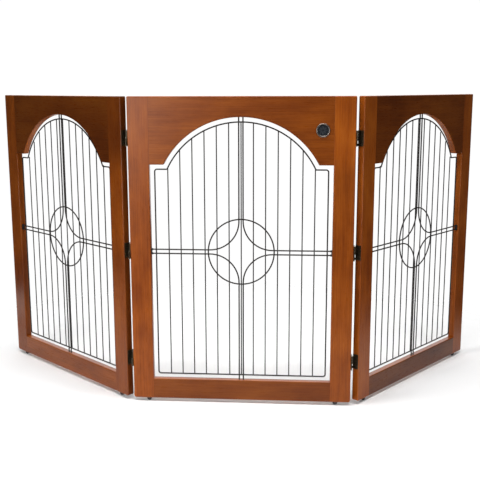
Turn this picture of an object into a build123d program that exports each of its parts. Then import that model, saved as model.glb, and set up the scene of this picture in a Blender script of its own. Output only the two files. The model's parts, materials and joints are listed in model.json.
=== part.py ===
from build123d import *

import os
from math import sqrt

os.makedirs("parts", exist_ok=True)

# A free-standing pet gate: three equal wooden panels with arched wire grilles, joined by
# double-acting hinges. +Z is up and the centre panel faces -Y. A panel is drawn about its own
# middle, with its wood standing on z = 0, and is lifted onto its feet when it is placed.
# Lengths are in millimetres and angles in degrees.

# Wooden frame of one panel
PANEL_WIDTH = 584.0
PANEL_HEIGHT = 808.0
PANEL_THICKNESS = 19.0
STILE_WIDTH = 55.0
BOTTOM_RAIL_HEIGHT = 55.0
SHOULDER_HEIGHT = 634.0
ARCH_HALF_CHORD = 200.0
ARCH_APEX_HEIGHT = 755.5
ARRIS_RADIUS = 2.5
LOWER_CORNER_RADIUS = 6.0
UPPER_CORNER_RADIUS = 3.0
SHOULDER_CORNER_RADIUS = 3.0

# Dowels in the joints between stiles and rails
DOWEL_RADIUS = 4.0
DOWEL_LENGTH = 40.0
DOWEL_HEIGHTS = (22.0, 42.0, 664.0, 721.0, 778.0)
GLUE_GAP = 0.05

# Wire grille: corner wires in front, border and ring welded behind them, uprights at the back
BORDER_INSET = 12.5
BORDER_WIRE_RADIUS = 1.85
BORDER_BEND_RADIUS = 6.0
ARCH_BEND_RADIUS = 3.5
UPRIGHT_WIRE_RADIUS = 1.5
UPRIGHT_COUNT = 13
UPRIGHT_SPACING = 31.8
DECOR_WIRE_RADIUS = 1.85
RING_RADIUS = 86.5
CORNER_ARC_RADIUS = 76.5
PAIR_HALF_SPACING = 5.5
WIRE_END_DEPTH = 8.0
CORNER_WIRE_Y = -1.8
WELD_GAP = 0.01
WIRE_HOLE_GAP = 0.1

# Bushes round the level pairs of wires
BUSH_HEIGHT = 17.5
BUSH_WIDTH = 8.0
BUSH_FLANGE = 2.0
COLLAR_RADIUS = 2.9
COLLAR_LENGTH = 2.6

# Dome feet
FOOT_HEIGHT = 9.0
FOOT_RADIUS = 6.5
FOOT_FLAT_RADIUS = 3.0
FOOT_SKIRT_HEIGHT = 3.0
FOOT_FROM_END = 40.0
NAIL_RADIUS = 1.2
NAIL_IN_FOOT = 5.0
NAIL_IN_WOOD = 14.0

# Medallion on the centre panel
MEDALLION_X = 208.5
MEDALLION_HEIGHT = 722.5
MEDALLION_RADIUS = 17.75
MEDALLION_DISC_RADIUS = 14.2
MEDALLION_PROUD = 2.6
MEDALLION_EDGE = 1.2
MEDALLION_DISC_THICKNESS = 1.4
STUD_RADIUS = 1.5
STUD_LENGTH = 9.0

# Double-acting hinges
HINGE_GAP = 5.0
HINGE_HEIGHTS = (110.0, 406.0, 702.0)
HINGE_LENGTH = 40.0
LEAF_THICKNESS = 1.1
LEAF_SETBACK = 1.5
PIN_PROUD = 1.8
PIN_RADIUS = 1.2
KNUCKLE_RADIUS = 2.1
KNUCKLE_GAP = 0.4
PRESS_GAP = 0.01
RUNNING_GAP = 0.05
LINK_THICKNESS = 1.4
LINK_CLEARANCE = 0.4
PIN_HEAD_RADIUS = 2.0
PIN_HEAD_THICKNESS = 0.8
SCREW_OFFSET = 12.5
SCREW_HEAD_RADIUS = 2.6
SCREW_SHANK_RADIUS = 1.4
SCREW_SHANK_LENGTH = 16.0
SCREW_SLOT_LENGTH = 3.0
SCREW_SLOT_WIDTH = 0.6
SCREW_SLOT_DEPTH = 0.5

# Backward fold of each side panel as the gate stands
LEFT_FOLD = 41.0
RIGHT_FOLD = 52.0

# Worked-out sizes
HALF_WIDTH = PANEL_WIDTH / 2
HALF_THICKNESS = PANEL_THICKNESS / 2
OPENING_HALF_WIDTH = HALF_WIDTH - STILE_WIDTH
ARCH_RISE = ARCH_APEX_HEIGHT - SHOULDER_HEIGHT
ARCH_RADIUS = (ARCH_HALF_CHORD**2 + ARCH_RISE**2) / (2 * ARCH_RISE)
ARCH_CENTRE_HEIGHT = ARCH_APEX_HEIGHT - ARCH_RADIUS
MID_OPENING_HEIGHT = (BOTTOM_RAIL_HEIGHT + ARCH_APEX_HEIGHT) / 2
BORDER_Y = CORNER_WIRE_Y + DECOR_WIRE_RADIUS + BORDER_WIRE_RADIUS + WELD_GAP
UPRIGHT_Y = BORDER_Y + BORDER_WIRE_RADIUS + UPRIGHT_WIRE_RADIUS + WELD_GAP
RING_Y = UPRIGHT_Y - UPRIGHT_WIRE_RADIUS - DECOR_WIRE_RADIUS - WELD_GAP
PIN_Y = HALF_THICKNESS + PIN_PROUD
HINGE_X = HALF_WIDTH + HINGE_GAP / 2
PANEL_PITCH = PANEL_WIDTH + HINGE_GAP
SIDES = (-1, 1)


def rod_x(radius, x_from, x_to, y, z):
    """Round rod along X."""
    return Pos((x_from + x_to) / 2, y, z) * Rot(0, 90, 0) * Cylinder(radius, abs(x_to - x_from))


def rod_y(radius, y_from, y_to, x, z):
    """Round rod along Y."""
    return Pos(x, (y_from + y_to) / 2, z) * Rot(90, 0, 0) * Cylinder(radius, abs(y_to - y_from))


def rod_z(radius, z_from, z_to, x, y):
    """Round rod along Z."""
    return Pos(x, y, (z_from + z_to) / 2) * Cylinder(radius, abs(z_to - z_from))


def block(x_range, y_range, z_range):
    """Rectangular block between the given limits, which may be in either order."""
    spans = [sorted(limits) for limits in (x_range, y_range, z_range)]
    size = [high - low for low, high in spans]
    return Pos(*[low for low, _ in spans]) * Box(*size, align=Align.MIN)


def cut(body, tools):
    """The body with each tool taken away."""
    for tool in tools:
        body = body - tool
    return body


def wire_along(path, radius):
    """Round wire whose middle follows the path."""
    return sweep(Plane(origin=path @ 0, z_dir=path % 0) * Circle(radius), path=path)


# ---- Wooden frame ----


def opening_outline(inset):
    """Arched outline with square shoulders, set in from the wood, and the half width of its arch."""
    half = OPENING_HALF_WIDTH - inset
    low = BOTTOM_RAIL_HEIGHT + inset
    shoulder = SHOULDER_HEIGHT - inset
    radius = ARCH_RADIUS - inset
    start = sqrt(radius**2 - (shoulder - ARCH_CENTRE_HEIGHT) ** 2)
    left = [(-start, shoulder), (-half, shoulder), (-half, low)]
    right = [(half, low), (half, shoulder), (start, shoulder)]
    arch = ThreePointArc(right[-1], (0, ARCH_CENTRE_HEIGHT + radius), left[0])
    return make_face(Polyline(*left, *right) + arch), start


def split_corners(outline, arch_start):
    """The outline's corners where the arch begins, and all its other corners."""
    at_arch = [corner for corner in outline.vertices() if abs(abs(corner.X) - arch_start) < 1]
    others = [corner for corner in outline.vertices() if abs(abs(corner.X) - arch_start) >= 1]
    return at_arch, others


def frame_blank():
    """The whole wooden frame in one piece, with every arris rounded."""
    board = Pos(0, PANEL_HEIGHT / 2) * Rectangle(PANEL_WIDTH, PANEL_HEIGHT)
    board = fillet(board.vertices().group_by(Axis.Y)[0], LOWER_CORNER_RADIUS)
    board = fillet(board.vertices().group_by(Axis.Y)[-1], UPPER_CORNER_RADIUS)
    opening, arch_start = opening_outline(0)
    opening = fillet(split_corners(opening, arch_start)[0], SHOULDER_CORNER_RADIUS)
    frame = extrude(Plane.XZ * (board - opening), HALF_THICKNESS, both=True)
    faces = frame.faces().filter_by(Axis.Y).sort_by(Axis.Y)
    return fillet(faces[0].edges() + faces[-1].edges(), ARRIS_RADIUS)


def dowels(gap=0.0):
    """Dowels across both stile joints, or with a gap the bores that they are glued into."""
    radius = DOWEL_RADIUS + gap
    reach = DOWEL_LENGTH / 2 + gap
    rods = []
    for side in SIDES:
        seam = side * OPENING_HALF_WIDTH
        rods += [rod_x(radius, seam - reach, seam + reach, 0, height) for height in DOWEL_HEIGHTS]
    return rods


def corner_wire_bores():
    """Holes in the wood for the ends of the corner wires."""
    radius = DECOR_WIRE_RADIUS + WIRE_HOLE_GAP
    depth = WIRE_END_DEPTH + WIRE_HOLE_GAP
    sill = (BOTTOM_RAIL_HEIGHT - depth, BOTTOM_RAIL_HEIGHT + 1)
    crown = (ARCH_APEX_HEIGHT - 1, ARCH_APEX_HEIGHT + depth)
    bores = []
    for side in SIDES:
        shift = side * PAIR_HALF_SPACING
        height = MID_OPENING_HEIGHT + shift
        bores += [rod_z(radius, *ends, shift, CORNER_WIRE_Y) for ends in (sill, crown)]
        for face in SIDES:
            wall = face * OPENING_HALF_WIDTH
            bores.append(rod_x(radius, wall - face, wall + face * depth, CORNER_WIRE_Y, height))
    return bores


def feet_x():
    """Where the two feet of a panel stand along it."""
    return [side * (HALF_WIDTH - FOOT_FROM_END) for side in SIDES]


def nails(gap=0.0):
    """Nails of the feet, or with a gap the holes that they fill."""
    return [rod_z(NAIL_RADIUS + gap, -NAIL_IN_FOOT - gap, NAIL_IN_WOOD + gap, x, 0) for x in feet_x()]


def hinge_screw_bores(side):
    """Holes in the end face of a panel's stile for the hinge screws."""
    radius = SCREW_SHANK_RADIUS + GLUE_GAP
    face = side * HALF_WIDTH
    end = face - side * (SCREW_SHANK_LENGTH + GLUE_GAP)
    return [
        rod_x(radius, end, face + side, 0, height + shift)
        for height in HINGE_HEIGHTS
        for shift in (-SCREW_OFFSET, SCREW_OFFSET)
    ]


def wooden_parts(hinged_sides, tools):
    """Stiles and rails of one panel, cut from the blank along the joints and bored."""
    bored = cut(FRAME, dowels(GLUE_GAP) + corner_wire_bores() + nails(GLUE_GAP) + tools)
    for side in hinged_sides:
        bored = cut(bored, hinge_screw_bores(side))
    deep = (-PANEL_THICKNESS, PANEL_THICKNESS)
    inner = (-OPENING_HALF_WIDTH, OPENING_HALF_WIDTH)
    full = (-1, PANEL_HEIGHT + 1)
    return {
        "stile_left": bored & block((-HALF_WIDTH - 1, -OPENING_HALF_WIDTH), deep, full),
        "stile_right": bored & block((OPENING_HALF_WIDTH, HALF_WIDTH + 1), deep, full),
        "top_rail": bored & block(inner, deep, (MID_OPENING_HEIGHT, PANEL_HEIGHT + 1)),
        "bottom_rail": bored & block(inner, deep, (-1, MID_OPENING_HEIGHT)),
    }


# ---- Wire grille ----


def border_wire():
    """Wire bent to the outline of the opening."""
    outline, arch_start = opening_outline(BORDER_INSET)
    outline = fillet(split_corners(outline, arch_start)[1], BORDER_BEND_RADIUS)
    outline = fillet(split_corners(outline, arch_start)[0], ARCH_BEND_RADIUS)
    return wire_along(Plane.XZ.offset(-BORDER_Y) * outline.wire(), BORDER_WIRE_RADIUS)


def upright_top(x):
    """Height where the upright wire at x meets the middle of the border wire."""
    radius = ARCH_RADIUS - BORDER_INSET
    shoulder = SHOULDER_HEIGHT - BORDER_INSET
    if radius**2 - x**2 <= (shoulder - ARCH_CENTRE_HEIGHT) ** 2:
        return shoulder
    return ARCH_CENTRE_HEIGHT + sqrt(radius**2 - x**2)


def upright_wires():
    """Thin uprights behind the border wire, evenly spaced about the middle."""
    low = BOTTOM_RAIL_HEIGHT + BORDER_INSET
    places = [(step - (UPRIGHT_COUNT - 1) / 2) * UPRIGHT_SPACING for step in range(UPRIGHT_COUNT)]
    return [rod_z(UPRIGHT_WIRE_RADIUS, low, upright_top(x), x, UPRIGHT_Y) for x in places]


def ring_wire():
    """Ring round the middle of the opening."""
    return Pos(0, RING_Y, MID_OPENING_HEIGHT) * Rot(90, 0, 0) * Torus(RING_RADIUS, DECOR_WIRE_RADIUS)


def corner_wire(side, rise):
    """Wire from the rail above or below to the stile at one side, with a quarter turn between."""
    bend = PAIR_HALF_SPACING + CORNER_ARC_RADIUS
    middle = MID_OPENING_HEIGHT
    rail_end = ARCH_APEX_HEIGHT + WIRE_END_DEPTH if rise > 0 else BOTTOM_RAIL_HEIGHT - WIRE_END_DEPTH
    stile_end = OPENING_HALF_WIDTH + WIRE_END_DEPTH
    down = Line((side * PAIR_HALF_SPACING, rail_end), (side * PAIR_HALF_SPACING, middle + rise * bend))
    turn = TangentArc(down @ 1, (side * bend, middle + rise * PAIR_HALF_SPACING), tangent=down % 1)
    level = Line(turn @ 1, (side * stile_end, middle + rise * PAIR_HALF_SPACING))
    return wire_along(Plane.XZ.offset(-CORNER_WIRE_Y) * Wire([down, turn, level]), DECOR_WIRE_RADIUS)


def wire_bush(side):
    """Oblong black bush on a stile, with a collar round each of the two wires."""
    wall = side * OPENING_HALF_WIDTH
    collar_end = wall - side * (BUSH_FLANGE + COLLAR_LENGTH)
    heights = [MID_OPENING_HEIGHT + rise * PAIR_HALF_SPACING for rise in SIDES]
    outline = Plane.YZ * SlotOverall(BUSH_HEIGHT, BUSH_WIDTH, rotation=90)
    bush = Pos(wall, CORNER_WIRE_Y, MID_OPENING_HEIGHT) * extrude(outline, -side * BUSH_FLANGE)
    for height in heights:
        bush += rod_x(COLLAR_RADIUS, wall, collar_end, CORNER_WIRE_Y, height)
    bore = DECOR_WIRE_RADIUS + WELD_GAP
    reach = (wall + side, collar_end - side)
    return cut(bush, [rod_x(bore, *reach, CORNER_WIRE_Y, height) for height in heights])


# ---- Feet and medallion ----


def foot(x):
    """Dome glide with a flat base, nailed up into the wood."""
    flat = (FOOT_FLAT_RADIUS, -FOOT_HEIGHT)
    rim = (FOOT_RADIUS, -FOOT_SKIRT_HEIGHT)
    dome = TangentArc(rim, flat, tangent=(0, -1))
    sides = Polyline(flat, (0, -FOOT_HEIGHT), (0, 0), (FOOT_RADIUS, 0), rim)
    body = revolve(Plane.XZ * make_face(sides + dome), Axis.Z)
    return cut(Pos(x, 0, 0) * body, nails(GLUE_GAP))


def medallion():
    """Rim, disc and stud of the medallion."""
    inner = (MEDALLION_DISC_RADIUS, MEDALLION_DISC_THICKNESS)
    outer = (MEDALLION_RADIUS, MEDALLION_EDGE)
    crown = ThreePointArc(outer, ((inner[0] + outer[0]) / 2, MEDALLION_PROUD), inner)
    sides = Polyline(inner, (MEDALLION_DISC_RADIUS, 0), (MEDALLION_RADIUS, 0), outer)
    disc_radius = MEDALLION_DISC_RADIUS - WELD_GAP
    disc_back = -HALF_THICKNESS
    disc_front = disc_back - MEDALLION_DISC_THICKNESS
    to_face = Pos(MEDALLION_X, -HALF_THICKNESS, MEDALLION_HEIGHT) * Rot(90, 0, 0)
    return {
        "medallion_rim": to_face * revolve(Plane.XZ * make_face(sides + crown), Axis.Z),
        "medallion_disc": rod_y(disc_radius, disc_front, disc_back, MEDALLION_X, MEDALLION_HEIGHT),
        "medallion_stud": medallion_stud(),
    }


def medallion_stud(gap=0.0):
    """Stud behind the medallion, or with a gap its hole in the wood."""
    end = -HALF_THICKNESS + STUD_LENGTH + gap
    return rod_y(STUD_RADIUS + gap, -HALF_THICKNESS, end, MEDALLION_X, MEDALLION_HEIGHT)


# ---- Double-acting hinge, drawn about the middle of its gap for the right-hand junction ----


def knuckle_bands(half):
    """Heights of the three knuckles on the pin in the upper (1) or lower (-1) half of the hinge."""
    pitch = (HINGE_LENGTH / 2 + KNUCKLE_GAP) / 3
    low = 0 if half > 0 else -HINGE_LENGTH / 2
    return [(low + step * pitch, low + (step + 1) * pitch - KNUCKLE_GAP) for step in range(3)]


def leaf(side, half):
    """Leaf on the end face at one side of the gap, with two knuckles on that side's pin."""
    face = side * HINGE_GAP / 2
    inner = face - side * LEAF_THICKNESS
    pin_y = side * PIN_Y
    plate_y = (side * (HALF_THICKNESS - ARRIS_RADIUS / 2), -side * (HALF_THICKNESS - LEAF_SETBACK))
    body = block((face, inner), plate_y, (-HINGE_LENGTH / 2, HINGE_LENGTH / 2))
    for band in knuckle_bands(half)[::2]:
        body += block((face, side * PIN_RADIUS), (pin_y, side * (HALF_THICKNESS - ARRIS_RADIUS / 2)), band)
        body += rod_z(KNUCKLE_RADIUS, *band, 0, pin_y)
    body -= rod_z(PIN_RADIUS + PRESS_GAP, -HINGE_LENGTH, HINGE_LENGTH, 0, pin_y)
    return cut(body, [screw_head(side, height, GLUE_GAP) for height in (-SCREW_OFFSET, SCREW_OFFSET)])


def link():
    """Plate between the two pins, with one knuckle round each."""
    reach = PIN_Y - KNUCKLE_RADIUS - LINK_CLEARANCE
    thick = (-LINK_THICKNESS / 2, LINK_THICKNESS / 2)
    body = block(thick, (-reach, reach), (-HINGE_LENGTH / 2, HINGE_LENGTH / 2))
    for side in SIDES:
        band = knuckle_bands(-side)[1]
        body += block(thick, (0, side * PIN_Y), band)
        body += rod_z(KNUCKLE_RADIUS, *band, 0, side * PIN_Y)
        body -= rod_z(PIN_RADIUS + RUNNING_GAP, *band, 0, side * PIN_Y)
    return body


def hinge_pin(side):
    """Pin with a flat head at each end: the front pin (-1) is the upper one, the back pin (1) the lower."""
    bands = knuckle_bands(-side)
    low = bands[0][0] - PRESS_GAP
    high = bands[-1][1] + PRESS_GAP
    body = rod_z(PIN_RADIUS, low, high, 0, side * PIN_Y)
    body += rod_z(PIN_HEAD_RADIUS, low - PIN_HEAD_THICKNESS, low, 0, side * PIN_Y)
    return body + rod_z(PIN_HEAD_RADIUS, high, high + PIN_HEAD_THICKNESS, 0, side * PIN_Y)


def screw_head(side, height, gap=0.0):
    """Countersunk head that fills the leaf's thickness, or with a gap the countersink."""
    face = side * HINGE_GAP / 2
    cone = Cone(SCREW_SHANK_RADIUS + gap, SCREW_HEAD_RADIUS + gap, LEAF_THICKNESS)
    return Pos(face - side * LEAF_THICKNESS / 2, 0, height) * Rot(0, -90 * side, 0) * cone


def screw(side, height):
    """Countersunk screw with a cross slot, driven into the end face of a stile."""
    face = side * HINGE_GAP / 2
    outer = face - side * LEAF_THICKNESS
    slot_x = (outer, outer + side * SCREW_SLOT_DEPTH)
    half_length = SCREW_SLOT_LENGTH / 2
    half_width = SCREW_SLOT_WIDTH / 2
    tip = face + side * SCREW_SHANK_LENGTH
    body = screw_head(side, height) + rod_x(SCREW_SHANK_RADIUS, face, tip, 0, height)
    body -= block(slot_x, (-half_length, half_length), (height - half_width, height + half_width))
    return body - block(slot_x, (-half_width, half_width), (height - half_length, height + half_length))


def hinge_parts():
    """The pieces of one right-hand hinge: what each junction repeats at three heights."""
    return {
        "leaves_centre": [leaf(-1, 1)],
        "links": [link()],
        "leaves_side": [leaf(1, -1)],
        "front_pins": [hinge_pin(-1)],
        "back_pins": [hinge_pin(1)],
        "screws_centre": [screw(-1, height) for height in (-SCREW_OFFSET, SCREW_OFFSET)],
        "screws_side": [screw(1, height) for height in (-SCREW_OFFSET, SCREW_OFFSET)],
    }


# ---- Placing the panels and hinges ----


def fold(side):
    """Turn of a side panel about its back pin, from straight to the way it stands."""
    angle = RIGHT_FOLD if side > 0 else -LEFT_FOLD
    pivot = Pos(side * HINGE_X, PIN_Y, 0)
    return pivot * Rot(0, 0, angle) * pivot.inverse()


def panel(name, place, hinged_sides, tools=()):
    """Every piece of one panel, lifted onto its feet and put in its place."""
    pieces = wooden_parts(hinged_sides, list(tools))
    pieces["dowels"] = group(dowels())
    pieces["border_wire"] = BORDER_WIRE
    pieces["upright_wires"] = group(upright_wires())
    pieces["ring_wire"] = ring_wire()
    pieces["corner_wires"] = group(CORNER_WIRES)
    pieces["wire_bushes"] = group(wire_bush(side) for side in SIDES)
    pieces["feet"] = group(foot(x) for x in feet_x())
    pieces["foot_nails"] = group(nails())
    lift = place * Pos(0, 0, FOOT_HEIGHT)
    return {f"{name}_{piece}": lift * solid for piece, solid in pieces.items()}


def junction(name, side):
    """Three hinges at one side of the centre panel. The left ones are the right ones turned half over."""
    turned_over = Rot(0, 0, 0) if side > 0 else Rot(0, 180, 0)
    moving = ("leaves_side", "back_pins", "screws_side")
    pieces = {}
    for piece, solids in HINGE.items():
        copies = []
        for height in HINGE_HEIGHTS:
            place = Pos(side * HINGE_X, 0, FOOT_HEIGHT + height) * turned_over
            copies += [place * solid for solid in solids]
        moved = fold(side) if piece in moving else Pos(0, 0, 0)
        pieces[f"{name}_hinge_{piece}"] = moved * group(copies)
    return pieces


def group(solids):
    """Separate solids that share one node."""
    return Compound([solid.solid() for solid in solids])


FRAME = frame_blank()
BORDER_WIRE = border_wire()
CORNER_WIRES = [corner_wire(side, rise) for side in SIDES for rise in SIDES]
HINGE = hinge_parts()

nodes = {}
nodes |= panel("left", fold(-1) * Pos(-PANEL_PITCH, 0, 0), [1])
nodes |= panel("centre", Pos(0, 0, 0), [-1, 1], [medallion_stud(GLUE_GAP)])
nodes |= panel("right", fold(1) * Pos(PANEL_PITCH, 0, 0), [-1])
nodes |= {name: Pos(0, 0, FOOT_HEIGHT) * solid for name, solid in medallion().items()}
nodes |= junction("left", -1)
nodes |= junction("right", 1)

# The origin is under the middle of the whole gate as it stands
box = Compound(list(nodes.values())).bounding_box()
to_origin = Pos(-(box.min.X + box.max.X) / 2, -(box.min.Y + box.max.Y) / 2, 0)
for name, solid in nodes.items():
    export_step(to_origin * solid, f"parts/{name}.step")
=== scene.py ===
import json
from math import cos, pi, radians, sin

import bpy
from mathutils import Matrix, Vector


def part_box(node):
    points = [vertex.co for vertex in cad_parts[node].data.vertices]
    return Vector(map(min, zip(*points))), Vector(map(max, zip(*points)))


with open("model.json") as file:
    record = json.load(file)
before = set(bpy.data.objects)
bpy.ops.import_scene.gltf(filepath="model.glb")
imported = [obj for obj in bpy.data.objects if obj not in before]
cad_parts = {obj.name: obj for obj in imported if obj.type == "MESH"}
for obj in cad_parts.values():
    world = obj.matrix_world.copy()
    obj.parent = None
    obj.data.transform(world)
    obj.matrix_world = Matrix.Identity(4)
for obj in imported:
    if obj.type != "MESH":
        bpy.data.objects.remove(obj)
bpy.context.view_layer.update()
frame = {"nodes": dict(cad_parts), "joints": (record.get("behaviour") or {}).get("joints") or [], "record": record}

NODES = frame["nodes"]
JOINTS = {joint["name"]: joint for joint in frame["joints"]}

# Panel sizes that the grain and the glue seams are laid out by
FOOT_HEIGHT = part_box("centre_stile_left")[0].z
OPENING_HALF_WIDTH = (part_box("centre_top_rail")[1].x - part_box("centre_top_rail")[0].x) / 2
SILL_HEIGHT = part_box("centre_bottom_rail")[1].z - FOOT_HEIGHT
SHOULDER_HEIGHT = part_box("centre_top_rail")[0].z - FOOT_HEIGHT
PANEL_CENTRE = (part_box("centre_stile_left")[0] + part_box("centre_stile_right")[1]) / 2
PANEL_MIDDLE = Vector((PANEL_CENTRE.x, PANEL_CENTRE.y, FOOT_HEIGHT))


# ---- Where each panel stands ----


def panel_to_row(side):
    """Matrix from a panel's own frame (its middle at the foot of the wood) to the row frame."""
    centre = Matrix.Translation(PANEL_MIDDLE)
    if not side:
        return centre
    joint = JOINTS["left_back_pin" if side < 0 else "right_back_pin"]
    pin = Vector(joint["pos_m"])
    pin.z = 0
    pitch = 2 * (pin.x - PANEL_MIDDLE.x)
    fold = radians(-joint["range_deg"][0]) * side
    turn = Matrix.Translation(pin) @ Matrix.Rotation(fold, 4, "Z") @ Matrix.Translation(-pin)
    return turn @ Matrix.Translation((pitch, 0, 0)) @ centre


PANELS = {"left": panel_to_row(-1), "centre": panel_to_row(0), "right": panel_to_row(1)}


# ---- Node helpers ----


def new_material(name):
    """Empty node material with an output and a Principled shader."""
    material = bpy.data.materials.new(name)
    material.use_nodes = True
    tree = material.node_tree
    tree.nodes.clear()
    output = tree.nodes.new("ShaderNodeOutputMaterial")
    shader = tree.nodes.new("ShaderNodeBsdfPrincipled")
    tree.links.new(shader.outputs[0], output.inputs["Surface"])
    return material, tree, shader


def plug(tree, source, socket):
    """Links an output, or sets a plain value, on an input."""
    if isinstance(source, bpy.types.NodeSocket):
        tree.links.new(source, socket)
    else:
        socket.default_value = source


def maths(tree, operation, a, b=None, clamp=False):
    """Math node on two values or sockets."""
    node = tree.nodes.new("ShaderNodeMath")
    node.operation = operation
    node.use_clamp = clamp
    plug(tree, a, node.inputs[0])
    if b is not None:
        plug(tree, b, node.inputs[1])
    return node.outputs[0]


def mapped(tree, vector, location=(0, 0, 0), rotation=(0, 0, 0), scale=(1, 1, 1)):
    """Vector after a Mapping node."""
    node = tree.nodes.new("ShaderNodeMapping")
    node.inputs["Location"].default_value = location
    node.inputs["Rotation"].default_value = rotation
    node.inputs["Scale"].default_value = scale
    tree.links.new(vector, node.inputs["Vector"])
    return node.outputs[0]


def noise(tree, vector, scale, detail=3.0, roughness=0.55, distortion=0.0):
    """Noise texture, as one value from 0 to 1."""
    node = tree.nodes.new("ShaderNodeTexNoise")
    node.inputs["Scale"].default_value = scale
    node.inputs["Detail"].default_value = detail
    node.inputs["Roughness"].default_value = roughness
    node.inputs["Distortion"].default_value = distortion
    tree.links.new(vector, node.inputs["Vector"])
    return node.outputs["Fac"]


def ramp(tree, value, stops):
    """Colour ramp through (position, colour) stops."""
    node = tree.nodes.new("ShaderNodeValToRGB")
    elements = node.color_ramp.elements
    while len(elements) < len(stops):
        elements.new(0.5)
    for element, (position, colour) in zip(elements, stops):
        element.position = position
        element.color = (*colour, 1)
    tree.links.new(value, node.inputs[0])
    return node.outputs[0]


def remap(tree, value, from_low, from_high, to_low=0.0, to_high=1.0, smooth=False):
    """Map Range node, clamped."""
    node = tree.nodes.new("ShaderNodeMapRange")
    node.interpolation_type = "SMOOTHSTEP" if smooth else "LINEAR"
    node.clamp = True
    for name, number in (("From Min", from_low), ("From Max", from_high)):
        node.inputs[name].default_value = number
    for name, number in (("To Min", to_low), ("To Max", to_high)):
        node.inputs[name].default_value = number
    tree.links.new(value, node.inputs["Value"])
    return node.outputs[0]


def mix_colour(tree, factor, a, b, blend="MIX"):
    """Mix node on two colours."""
    node = tree.nodes.new("ShaderNodeMix")
    node.data_type = "RGBA"
    node.blend_type = blend
    plug(tree, factor, node.inputs[0])
    plug(tree, a if isinstance(a, bpy.types.NodeSocket) else (*a, 1), node.inputs[6])
    plug(tree, b if isinstance(b, bpy.types.NodeSocket) else (*b, 1), node.inputs[7])
    return node.outputs[2]


def tinted(tree, mask, colour, tint):
    """Colour multiplied by a tint where the mask is 1, and as it was where the mask is 0."""
    return mix_colour(tree, mask, colour, mix_colour(tree, 1, colour, tint, "MULTIPLY"))


def components(tree, vector):
    """The X, Y and Z outputs of a vector."""
    node = tree.nodes.new("ShaderNodeSeparateXYZ")
    tree.links.new(vector, node.inputs[0])
    return node.outputs


def vector_length(tree, vector):
    """Length of a vector."""
    node = tree.nodes.new("ShaderNodeVectorMath")
    node.operation = "LENGTH"
    tree.links.new(vector, node.inputs[0])
    return node.outputs["Value"]


def bump(tree, shader, height, distance, strength):
    """Bump from a height socket into the shader's normal."""
    node = tree.nodes.new("ShaderNodeBump")
    node.inputs["Strength"].default_value = strength
    node.inputs["Distance"].default_value = distance
    tree.links.new(height, node.inputs["Height"])
    tree.links.new(node.outputs[0], shader.inputs["Normal"])


def object_coordinates(tree, output="Object"):
    """Coordinates that ride with the piece."""
    return tree.nodes.new("ShaderNodeTexCoord").outputs[output]


# ---- Stained wood ----

# Colours of the stain from the darkest figure of the wood to the lightest
WOOD_STOPS = (
    (0.18, (0.130, 0.0245, 0.0018)),
    (0.52, (0.220, 0.0493, 0.0036)),
    (0.86, (0.312, 0.0820, 0.0070)),
)
END_GRAIN = (0.52, 0.42, 0.40)
SEAM = (0.55, 0.46, 0.42)
WOOD_ROUGHNESS = 0.33
WOOD_SPECULAR = 0.2
WOOD_COAT = 0.05
WOOD_COAT_ROUGHNESS = 0.20
WOOD_RELIEF = 0.00015

# How light or dark each board's face is drawn, next to the stain above. Set under these lights, so each
# number is partly the stain that the board took and partly painted light and shade
BOARD_STAIN_AND_SHADE = {
    "left_stile_left": 0.77,
    "left_stile_right": 0.86,
    "left_top_rail": 0.41,
    "left_bottom_rail": 0.80,
    "centre_stile_left": 1.18,
    "centre_stile_right": 1.13,
    "centre_top_rail": 1.02,
    "centre_bottom_rail": 0.74,
    "right_stile_left": 1.16,
    "right_stile_right": 1.06,
    "right_top_rail": 0.59,
    "right_bottom_rail": 0.46,
}

# The same for a stile's upper end, above the shoulders: partly stain and partly painted light and shade
UPPER_STAIN_AND_SHADE = {"left_stile_right": 0.58, "centre_stile_right": 1.42}
UPPER_BLEND = 0.04

# The same for the boards' edges. A board has one stain, so what differs from its face is painted light and shade
EDGE_PAINTED_LIGHT = {
    "left_stile_right": 0.62,
    "left_top_rail": 1.40,
    "left_bottom_rail": 1.30,
    "centre_top_rail": 1.30,
    "centre_bottom_rail": 1.30,
    "right_top_rail": 1.40,
    "right_bottom_rail": 1.30,
}


def grain_group():
    """Node group for the figure of the wood, with the grain along Z: how light it is, and its relief."""
    group = bpy.data.node_groups.new("stained_grain", "ShaderNodeTree")
    group.interface.new_socket("Vector", in_out="INPUT", socket_type="NodeSocketVector")
    for name in ("Lightness", "Relief"):
        group.interface.new_socket(name, in_out="OUTPUT", socket_type="NodeSocketFloat")
    vector = group.nodes.new("NodeGroupInput").outputs[0]
    output = group.nodes.new("NodeGroupOutput")

    fibres = noise(group, mapped(group, vector, scale=(1, 1, 0.012)), 750, 4, 0.6)
    streaks = noise(group, mapped(group, vector, scale=(1, 1, 0.045)), 60, 4, 0.72, 0.4)
    bands = noise(group, mapped(group, vector, scale=(1, 1, 0.12)), 14, 2, 0.5)
    mottle = noise(group, mapped(group, vector, scale=(1, 1, 0.5)), 24, 3, 0.55)
    clouds = noise(group, mapped(group, vector, scale=(1, 1, 0.6)), 6, 2, 0.5)
    pores = noise(group, mapped(group, vector, scale=(1, 1, 0.03)), 1500, 2, 0.5)
    pores = remap(group, pores, 0.60, 0.72)

    total = 0.5
    parts = ((fibres, 0.80), (streaks, 0.48), (bands, 0.42), (mottle, 0.60), (clouds, 0.80))
    for value, weight in parts:
        change = maths(group, "MULTIPLY", maths(group, "SUBTRACT", value, 0.5), weight)
        total = maths(group, "ADD", total, change)
    lightness = maths(group, "SUBTRACT", total, maths(group, "MULTIPLY", pores, 0.07), clamp=True)
    relief = maths(group, "SUBTRACT", fibres, maths(group, "MULTIPLY", pores, 0.8))
    group.links.new(lightness, output.inputs["Lightness"])
    group.links.new(relief, output.inputs["Relief"])
    return group


GRAIN = grain_group()


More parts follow.
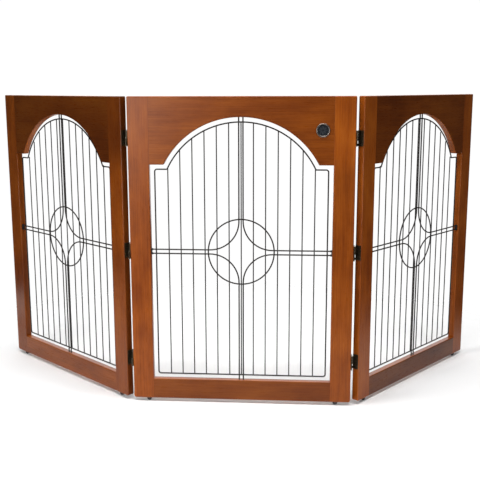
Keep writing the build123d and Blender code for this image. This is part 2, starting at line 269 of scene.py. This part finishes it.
def seam_line(tree, place):
    """1 on the glue line between a stile and a rail, and 0 away from it."""
    from_seam = maths(tree, "SUBTRACT", maths(tree, "ABSOLUTE", place["X"]), OPENING_HALF_WIDTH)
    line = remap(tree, maths(tree, "ABSOLUTE", from_seam), 0.00015, 0.00060, 1, 0, smooth=True)
    below = maths(tree, "LESS_THAN", place["Z"], SILL_HEIGHT)
    above = maths(tree, "GREATER_THAN", place["Z"], SHOULDER_HEIGHT)
    return maths(tree, "MULTIPLY", line, maths(tree, "ADD", below, above))


def wood_material(node, panel, along_panel, shift):
    """Stained and lacquered board. The grain runs along the panel, or else up it."""
    material, tree, shader = new_material(f"stained_wood_{node}")
    to_panel = panel.inverted()
    place = mapped(tree, object_coordinates(tree), to_panel.translation, to_panel.to_euler("XYZ"))
    turn = Matrix.Rotation(pi / 2, 4, "Y") if along_panel else Matrix.Identity(4)
    board = mapped(tree, place, shift, turn.to_euler("XYZ"))

    grain = tree.nodes.new("ShaderNodeGroup")
    grain.node_tree = GRAIN
    tree.links.new(board, grain.inputs[0])
    # Board tone: partly the board's stain, partly painted light and shade
    tone = BOARD_STAIN_AND_SHADE[node]
    stops = [(level, tuple(tone * channel for channel in stain)) for level, stain in WOOD_STOPS]
    colour = ramp(tree, grain.outputs["Lightness"], stops)

    position = components(tree, place)
    # Stile's upper end drawn lighter or darker: partly stain, partly painted light and shade
    if node in UPPER_STAIN_AND_SHADE:
        low, high = SHOULDER_HEIGHT - UPPER_BLEND, SHOULDER_HEIGHT + UPPER_BLEND
        upper = remap(tree, position["Z"], low, high, smooth=True)
        colour = tinted(tree, upper, colour, (UPPER_STAIN_AND_SHADE[node] / tone,) * 3)
    facing = mapped(tree, object_coordinates(tree, "Normal"), rotation=to_panel.to_euler("XYZ"))
    facing = components(tree, facing)
    # Painted light and shade: the board's edges drawn lighter or darker than its face
    if node in EDGE_PAINTED_LIGHT:
        edge = remap(tree, maths(tree, "ABSOLUTE", facing["Y"]), 0.35, 0.75, 1, 0)
        colour = tinted(tree, edge, colour, (EDGE_PAINTED_LIGHT[node] / tone,) * 3)
    if not along_panel:
        end = remap(tree, maths(tree, "ABSOLUTE", facing["Z"]), 0.85, 0.97)
        colour = tinted(tree, end, colour, END_GRAIN)
    seam = seam_line(tree, position)
    colour = tinted(tree, seam, colour, SEAM)
    tree.links.new(colour, shader.inputs["Base Color"])

    rough = remap(tree, grain.outputs["Relief"], 0.2, 0.8, WOOD_ROUGHNESS - 0.06, WOOD_ROUGHNESS + 0.06)
    tree.links.new(rough, shader.inputs["Roughness"])
    shader.inputs["Specular IOR Level"].default_value = WOOD_SPECULAR
    shader.inputs["Coat Weight"].default_value = WOOD_COAT
    shader.inputs["Coat Roughness"].default_value = WOOD_COAT_ROUGHNESS
    height = maths(tree, "SUBTRACT", maths(tree, "MULTIPLY", grain.outputs["Relief"], 0.25), seam)
    bump(tree, shader, height, WOOD_RELIEF, 0.5)
    return material


# ---- Wire, metal, plastic and rubber ----


def speckled(name, base, worn, scale, threshold, roughness, metallic, grain_depth, specular):
    """Surface of two tones with a fine relief: base all over, and worn where the noise is high."""
    material, tree, shader = new_material(name)
    place = object_coordinates(tree)
    patches = remap(tree, noise(tree, place, scale, 4, 0.6), threshold, threshold + 0.18)
    tree.links.new(mix_colour(tree, patches, base, worn), shader.inputs["Base Color"])
    fine = noise(tree, place, scale * 9, 3, 0.6)
    rough = remap(tree, fine, 0.25, 0.75, roughness - 0.06, roughness + 0.08)
    tree.links.new(rough, shader.inputs["Roughness"])
    shader.inputs["Metallic"].default_value = metallic
    shader.inputs["Specular IOR Level"].default_value = specular
    bump(tree, shader, fine, grain_depth, 0.6)
    return material


def brushed(name, base, roughness, scale, axis_scale):
    """Bare metal with fine lines along one direction."""
    material, tree, shader = new_material(name)
    lines = noise(tree, mapped(tree, object_coordinates(tree), scale=axis_scale), scale, 3, 0.6)
    dark = tuple(0.8 * channel for channel in base)
    light = tuple(1.15 * channel for channel in base)
    tree.links.new(mix_colour(tree, lines, dark, light), shader.inputs["Base Color"])
    rough = remap(tree, lines, 0.3, 0.7, roughness - 0.05, roughness + 0.08)
    tree.links.new(rough, shader.inputs["Roughness"])
    shader.inputs["Metallic"].default_value = 1.0
    bump(tree, shader, lines, 0.00002, 0.5)
    return material


# Rosette of the medallion: reach and depth of its petals are shares of the disc's radius
PETALS = 8
PETAL_REACH = 0.62
PETAL_DEPTH = 0.16
ENAMEL = (0.007, 0.009, 0.012)
ENAMEL_PETAL = (0.022, 0.026, 0.031)
ENAMEL_DUST = (0.10, 0.11, 0.12)


def medallion_face(name):
    """Dark enamel with a plain rosette of petals."""
    material, tree, shader = new_material(name)
    low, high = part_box("medallion_disc")
    middle = (low + high) / 2
    place = mapped(tree, object_coordinates(tree), -middle)
    axes = components(tree, place)
    angle = maths(tree, "ARCTAN2", axes["Z"], axes["X"])
    radius = vector_length(tree, mapped(tree, place, scale=(1, 0, 1)))
    share = maths(tree, "DIVIDE", radius, (high.x - low.x) / 2)
    wave = maths(tree, "COSINE", maths(tree, "MULTIPLY", angle, PETALS))
    edge = maths(tree, "ADD", PETAL_REACH, maths(tree, "MULTIPLY", wave, PETAL_DEPTH))
    edge = maths(tree, "SUBTRACT", edge, share)
    petals = remap(tree, edge, 0.0, 0.07, smooth=True)
    petals = maths(tree, "MULTIPLY", petals, remap(tree, share, 0.16, 0.22))
    grit = noise(tree, place, 1400, 3)
    colour = mix_colour(tree, petals, ENAMEL, ENAMEL_PETAL)
    colour = mix_colour(tree, maths(tree, "MULTIPLY", grit, 0.12), colour, ENAMEL_DUST)
    tree.links.new(colour, shader.inputs["Base Color"])
    tree.links.new(remap(tree, grit, 0.3, 0.7, 0.30, 0.44), shader.inputs["Roughness"])
    shader.inputs["Specular IOR Level"].default_value = 0.2
    bump(tree, shader, maths(tree, "ADD", petals, maths(tree, "MULTIPLY", grit, 0.2)), 0.0002, 0.6)
    return material


# Speckled finishes: colour, colour of the worn specks, their scale and how high the noise must be,
# roughness, metallic, depth of the relief and specular level
SPECKLED = {
    "black_wire": ((0.0120, 0.0085, 0.0070), (0.026, 0.018, 0.014), 260, 0.62, 0.44, 0.0, 0.00004, 0.35),
    "bush_plastic": ((0.0100, 0.0098, 0.0096), (0.020, 0.019, 0.018), 420, 0.60, 0.42, 0.0, 0.00004, 0.5),
    "foot_rubber": ((0.0090, 0.0088, 0.0086), (0.022, 0.021, 0.020), 340, 0.62, 0.46, 0.0, 0.00006, 0.5),
    "hinge_metal": ((0.034, 0.024, 0.012), (0.170, 0.125, 0.065), 380, 0.53, 0.34, 0.55, 0.00004, 0.5),
    "screw_metal": ((0.045, 0.037, 0.027), (0.190, 0.150, 0.100), 520, 0.54, 0.34, 0.9, 0.00003, 0.5),
    "dowel_wood": ((0.46, 0.30, 0.15), (0.56, 0.40, 0.22), 300, 0.45, 0.60, 0.0, 0.00005, 0.5),
}

# Brushed finishes: colour, roughness, scale of the lines, and how each axis is stretched to draw them
BRUSHED = {
    "pin_metal": ((0.30, 0.27, 0.22), 0.30, 900, (1, 1, 0.05)),
    "nail_steel": ((0.52, 0.52, 0.53), 0.30, 900, (1, 1, 0.05)),
    "medallion_metal": ((0.20, 0.17, 0.15), 0.34, 600, (1, 1, 1)),
}

FINISHES = {"medallion_face": medallion_face("medallion_face")}
for finish, values in SPECKLED.items():
    FINISHES[finish] = speckled(finish, *values)
for finish, values in BRUSHED.items():
    FINISHES[finish] = brushed(finish, *values)


def assign(node, material):
    """Gives a carried-over node one material."""
    slots = NODES[node].data.materials
    slots.clear()
    slots.append(material)


def paint_nodes():
    """Gives every node its finish, and each board its own piece of grain."""
    slots = {part["node"]: part["material_slot"] for part in frame["record"]["subparts"]}
    boards = sorted(node for node, slot in slots.items() if slot == "stained_wood")
    for number, node in enumerate(boards):
        panel = PANELS[node.split("_")[0]]
        shift = (0.37 * number, 0.013 * (number % 3), 0.83 * number)
        assign(node, wood_material(node, panel, node.endswith("rail"), shift))
    for node, slot in slots.items():
        if slot != "stained_wood":
            assign(node, FINISHES[slot])


paint_nodes()


# ---- Floor, light and camera ----

FLOOR_SOLID_RADIUS = 0.80
FLOOR_EDGE_RADIUS = 1.25
FLOOR_HALF_SIZE = 1.3


def make_floor():
    """Pale sweep under the gate. Its rim fades out, so that it has no edge against the backdrop."""
    size = FLOOR_HALF_SIZE
    corners = [(-size, -size, 0), (size, -size, 0), (size, size, 0), (-size, size, 0)]
    mesh = bpy.data.meshes.new("floor")
    mesh.from_pydata(corners, [], [(0, 1, 2, 3)])
    floor = bpy.data.objects.new("floor", mesh)
    bpy.context.scene.collection.objects.link(floor)
    material, tree, shader = new_material("floor_paint")
    place = object_coordinates(tree)
    tone = remap(tree, noise(tree, place, 3.0, 2), 0.3, 0.7, 0.92, 0.94)
    tree.links.new(tone, shader.inputs["Base Color"])
    shader.inputs["Roughness"].default_value = 0.8
    shader.inputs["Specular IOR Level"].default_value = 0.2
    radius = vector_length(tree, place)
    rim = remap(tree, radius, FLOOR_SOLID_RADIUS, FLOOR_EDGE_RADIUS, 1, 0, smooth=True)
    tree.links.new(rim, shader.inputs["Alpha"])
    mesh.materials.append(material)


BACKDROP_STRENGTH = 1.02
ROOM_STRENGTH = 0.05


def make_world():
    """Pale backdrop, with a dim studio round the light boxes for what the lacquer and metal reflect."""
    world = bpy.data.worlds.new("studio")
    world.use_nodes = True
    tree = world.node_tree
    tree.nodes.clear()
    output = tree.nodes.new("ShaderNodeOutputWorld")
    backdrop = tree.nodes.new("ShaderNodeBackground")
    backdrop.inputs["Color"].default_value = (1, 1, 1, 1)
    backdrop.inputs["Strength"].default_value = BACKDROP_STRENGTH
    room = tree.nodes.new("ShaderNodeBackground")
    room.inputs["Color"].default_value = (0.96, 0.98, 1, 1)
    room.inputs["Strength"].default_value = ROOM_STRENGTH
    seen = tree.nodes.new("ShaderNodeLightPath").outputs["Is Camera Ray"]
    mix = tree.nodes.new("ShaderNodeMixShader")
    tree.links.new(seen, mix.inputs[0])
    tree.links.new(room.outputs[0], mix.inputs[1])
    tree.links.new(backdrop.outputs[0], mix.inputs[2])
    tree.links.new(mix.outputs[0], output.inputs["Surface"])
    bpy.context.scene.world = world


def light_box(name, place, target, width, height, power, spread=180):
    """Soft light at a place, turned to the target, in watts. A spread under 180 degrees narrows it."""
    data = bpy.data.lights.new(name, "AREA")
    data.shape = "RECTANGLE"
    data.size = width
    data.size_y = height
    data.energy = power
    data.spread = radians(spread)
    lamp = bpy.data.objects.new(name, data)
    bpy.context.scene.collection.objects.link(lamp)
    lamp.location = place
    lamp.rotation_euler = (Vector(target) - Vector(place)).to_track_quat("-Z", "Y").to_euler()
    lamp.visible_camera = False


def make_lights():
    """Boxes overhead, a strip and a beam left of the camera, low boxes at the sides, a screen behind."""
    light_box("over_front", (0.0, -0.6, 2.4), (0, -0.5, 0), 2.2, 0.6, 59)
    for side in (-1, 1):
        light_box("over_side", (1.5 * side, 0.9, 2.0), (1.1 * side, 0.5, 0), 0.9, 1.2, 9.5)
    light_box("left_strip", (-1.0, -2.5, 0.95), (-0.1, -0.2, 0.6), 0.5, 1.2, 11)
    light_box("left_beam", (-1.0, -2.5, 1.1), (-0.1, -0.2, 0.65), 0.5, 0.9, 1.1, 40)
    light_box("left_fill", (-1.5, -1.9, 0.35), (-0.45, 0.0, 0.2), 0.6, 0.4, 2.5, 60)
    light_box("right_fill", (1.6, -1.8, 0.45), (0.5, 0.0, 0.3), 0.6, 0.4, 1.4, 60)
    light_box("left_low", (-1.1, 0.25, 0.05), (-0.6, 0.15, 0.05), 0.7, 0.1, 0.32)
    light_box("back", (0.0, 2.2, 0.9), (0, 0, 0.7), 3.0, 1.6, 30)


CAMERA_PLACE = (0.1905, -2.3059, 0.8392)
CAMERA_YAW = -0.0740
CAMERA_PITCH = 0.1863
CAMERA_ROLL = -0.0024
CAMERA_LENS = 60.84
CAMERA_SENSOR_WIDTH = 36.0


def make_camera():
    """Camera a little right of the middle and above the gate, looking slightly down and to the left."""
    level = Vector((cos(CAMERA_YAW), -sin(CAMERA_YAW), 0))
    ahead = Vector((sin(CAMERA_YAW), cos(CAMERA_YAW), 0))
    forward = cos(CAMERA_PITCH) * ahead - sin(CAMERA_PITCH) * Vector((0, 0, 1))
    right = cos(CAMERA_ROLL) * level + sin(CAMERA_ROLL) * level.cross(forward)
    up = right.cross(forward)
    data = bpy.data.cameras.new("camera")
    data.sensor_width = CAMERA_SENSOR_WIDTH
    data.lens = CAMERA_LENS
    camera = bpy.data.objects.new("camera", data)
    bpy.context.scene.collection.objects.link(camera)
    turn = Matrix((right, up, -forward)).transposed().to_4x4()
    camera.matrix_world = Matrix.Translation(CAMERA_PLACE) @ turn
    bpy.context.scene.camera = camera


make_floor()
make_world()
make_lights()
make_camera()
bpy.context.scene.view_settings.view_transform = "Standard"
